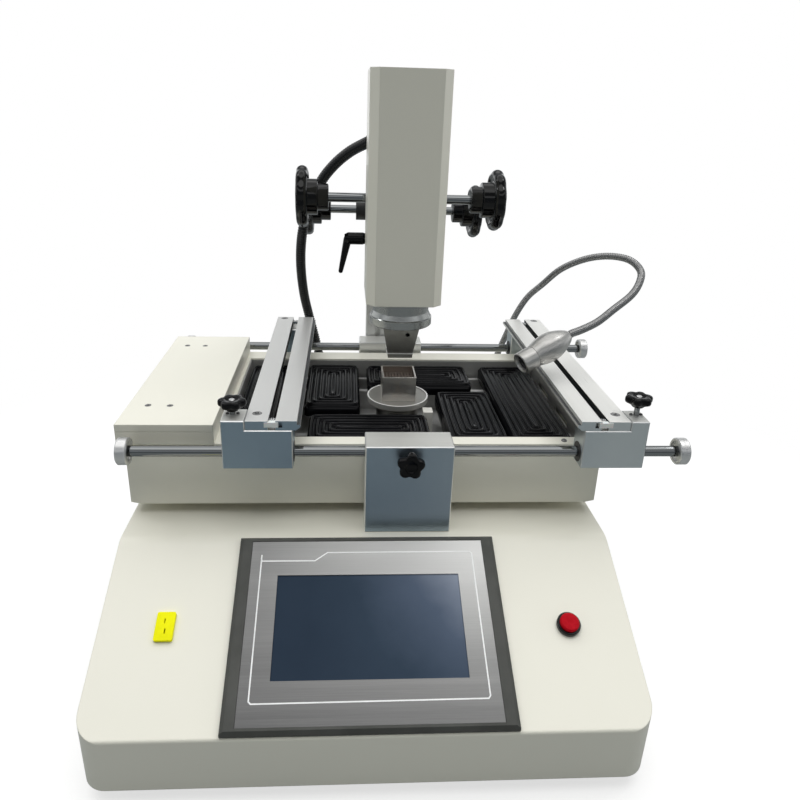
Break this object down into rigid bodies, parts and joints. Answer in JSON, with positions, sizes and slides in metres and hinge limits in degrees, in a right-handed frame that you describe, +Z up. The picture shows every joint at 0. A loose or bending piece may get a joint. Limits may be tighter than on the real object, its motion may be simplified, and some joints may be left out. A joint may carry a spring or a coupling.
{
  "type": "rework station",
  "caption": "Hot-air rework station with a touch-panel base, a raised preheat tray, sliding board clamps and a handwheel-driven hot-air head on a column.",
  "frame": {"origin": "on the floor, below the middle of the console base", "axes": "+Z up, +X to the operator's right, +Y to the back"},
  "size_m": [0.548, 0.5623, 0.5365],
  "materials": {
    "cream_paint": "glossy, slightly textured",
    "zinc_plate": "dull zinc",
    "foot_rubber": "matte",
    "dark_plastic": "fine texture",
    "silver_panel": "brushed",
    "screen_glass": "glossy",
    "yellow_plastic": "satin",
    "black_plastic": "glossy",
    "red_plastic": "glossy",
    "liner_steel": "dark satin",
    "heater_ceramic": "glossy glaze",
    "disc_steel": "satin with a bright rim",
    "nozzle_steel": "dark satin",
    "white_ceramic": "matte",
    "anodised": "satin anodised",
    "bright_steel": "ground and polished",
    "cap_metal": "polished",
    "bush_black": "black seals",
    "spring_steel": "bright",
    "hose_black": "corrugated, satin"
  },
  "bodies": {
    "base": {"base_shell": "cream_paint", "base_plate": "zinc_plate", "feet": "foot_rubber", "hmi_bezel": "dark_plastic", "hmi_plate": "silver_panel", "hmi_screen": "screen_glass", "thermocouple_socket": "yellow_plastic", "button_bezel": "black_plastic", "power_inlet": "black_plastic", "fan_frame": "dark_plastic", "tray_standoffs": "zinc_plate", "tray_box": "cream_paint", "tray_liner": "liner_steel", "left_cover": "cream_paint", "heater_tile_1": "heater_ceramic", "heater_tile_2": "heater_ceramic", "heater_tile_3": "heater_ceramic", "heater_tile_4": "heater_ceramic", "heater_tile_5": "heater_ceramic", "heater_tile_6": "heater_ceramic", "lower_heater": "liner_steel", "lower_disc": "disc_steel", "ceramic_block": "white_ceramic", "front_block": "anodised", "rear_block": "anodised", "column": "anodised", "column_saddle": "anodised", "hose_lower": "hose_black"},
    "button": {"button_cap": "red_plastic"},
    "fan": {"fan_rotor": "dark_plastic"},
    "low_nozzle": {"lower_nozzle": "nozzle_steel"},
    "rail_frame": {"rails": "bright_steel", "rail_caps": "cap_metal"},
    "rail_lock": {"frame_knob": "black_plastic"},
    "left_clamp": {"left_sliders": "anodised", "left_bushes": "bush_black", "left_beam": "anodised", "left_springs": "spring_steel"},
    "left_jaw_body": {"left_jaw": "anodised"},
    "left_lock": {"left_knob": "black_plastic"},
    "right_clamp": {"right_sliders": "anodised", "right_bushes": "bush_black", "right_beam": "anodised", "right_springs": "spring_steel"},
    "right_jaw_body": {"right_jaw": "anodised"},
    "right_lock": {"right_knob": "black_plastic"},
    "arm_body": {"arm": "anodised", "lift_block": "anodised"},
    "drive": {"drive_shaft": "bright_steel", "drive_wheels": "black_plastic"},
    "lift": {"lift_shaft": "bright_steel", "lift_wheels": "black_plastic"},
    "head": {"head_slide": "anodised", "head_cover": "cream_paint", "head_collar": "anodised", "hose_upper": "hose_black"},
    "top_nozzle": {"upper_nozzle": "nozzle_steel"},
    "lever": {"clamping_lever": "black_plastic"},
    "lamp": {"gooseneck": "spring_steel", "lamp_body": "cap_metal"}
  },
  "joints": [
    {"name": "button_press", "type": "slide", "parent": "base", "child": "button", "axis": [0, 0.4496, -0.8932], "range_m": [0, 0.0025], "stiffness_N_per_m": 400, "springref_m": -0.001},
    {"name": "fan_spin", "type": "hinge", "parent": "base", "child": "fan", "pos_m": [0.11, 0.265, 0.077], "axis": [0, 1, 0], "continuous": true},
    {"name": "lower_nozzle_turn", "type": "hinge", "parent": "base", "child": "low_nozzle", "pos_m": [0.0365, 0.036, 0.21], "axis": [0, 0, 1], "continuous": true},
    {"name": "upper_nozzle_turn", "type": "hinge", "parent": "head", "child": "top_nozzle", "pos_m": [0.0365, 0.036, 0.3], "axis": [0, 0, 1], "continuous": true},
    {"name": "rail_shift", "type": "slide", "parent": "base", "child": "rail_frame", "axis": [1, 0, 0], "range_m": [-0.025, 0.025]},
    {"name": "rail_lock_turn", "type": "hinge", "parent": "base", "child": "rail_lock", "pos_m": [0.0365, -0.13, 0.2127], "axis": [0, -1, 0], "range_deg": [0, 360]},
    {"name": "left_clamp_slide", "type": "slide", "parent": "rail_frame", "child": "left_clamp", "axis": [1, 0, 0], "range_m": [-0.08, 0.035]},
    {"name": "right_clamp_slide", "type": "slide", "parent": "rail_frame", "child": "right_clamp", "axis": [1, 0, 0], "range_m": [-0.085, 0.028]},
    {"name": "left_jaw_spring", "type": "slide", "parent": "left_clamp", "child": "left_jaw_body", "axis": [-1, 0, 0], "range_m": [0, 0.003], "stiffness_N_per_m": 800, "springref_m": -0.002, "deforming": ["left_springs"]},
    {"name": "right_jaw_spring", "type": "slide", "parent": "right_clamp", "child": "right_jaw_body", "axis": [1, 0, 0], "range_m": [0, 0.003], "stiffness_N_per_m": 800, "springref_m": -0.002, "deforming": ["right_springs"]},
    {"name": "left_lock_turn", "type": "hinge", "parent": "left_clamp", "child": "left_lock", "pos_m": [-0.12039, -0.102, 0.25], "axis": [0, 0, 1], "range_deg": [0, 360]},
    {"name": "right_lock_turn", "type": "hinge", "parent": "right_clamp", "child": "right_lock", "pos_m": [0.24403, -0.102, 0.25], "axis": [0, 0, 1], "range_deg": [0, 360]},
    {"name": "arm_slide", "type": "slide", "parent": "base", "child": "arm_body", "axis": [0, 1, 0], "range_m": [-0.015, 0.045], "deforming": ["hose_lower"]},
    {"name": "drive_turn", "type": "hinge", "parent": "base", "child": "drive", "pos_m": [0.0365, 0.223, 0.383], "axis": [-1, 0, 0], "range_deg": [-86, 257.9]},
    {"name": "head_lift", "type": "slide", "parent": "arm_body", "child": "head", "axis": [0, 0, 1], "range_m": [-0.012, 0.06], "deforming": ["hose_upper"]},
    {"name": "lift_turn", "type": "hinge", "parent": "arm_body", "child": "lift", "pos_m": [0.0365, 0.1, 0.412], "axis": [-1, 0, 0], "range_deg": [-68.8, 343.8]},
    {"name": "lever_turn", "type": "hinge", "parent": "arm_body", "child": "lever", "pos_m": [0, 0.09, 0.37], "axis": [-1, 0, 0], "range_deg": [-45, 45]},
    {"name": "lamp_swivel", "type": "hinge", "parent": "base", "child": "lamp", "pos_m": [0.176, 0.217, 0.1385], "axis": [0, 0, 1], "range_deg": [-15, 15]}
  ],
  "couplings": [
    {"joint": "drive_turn", "follows": "arm_slide", "rad_per_m": 100},
    {"joint": "lift_turn", "follows": "head_lift", "rad_per_m": 100}
  ]
}
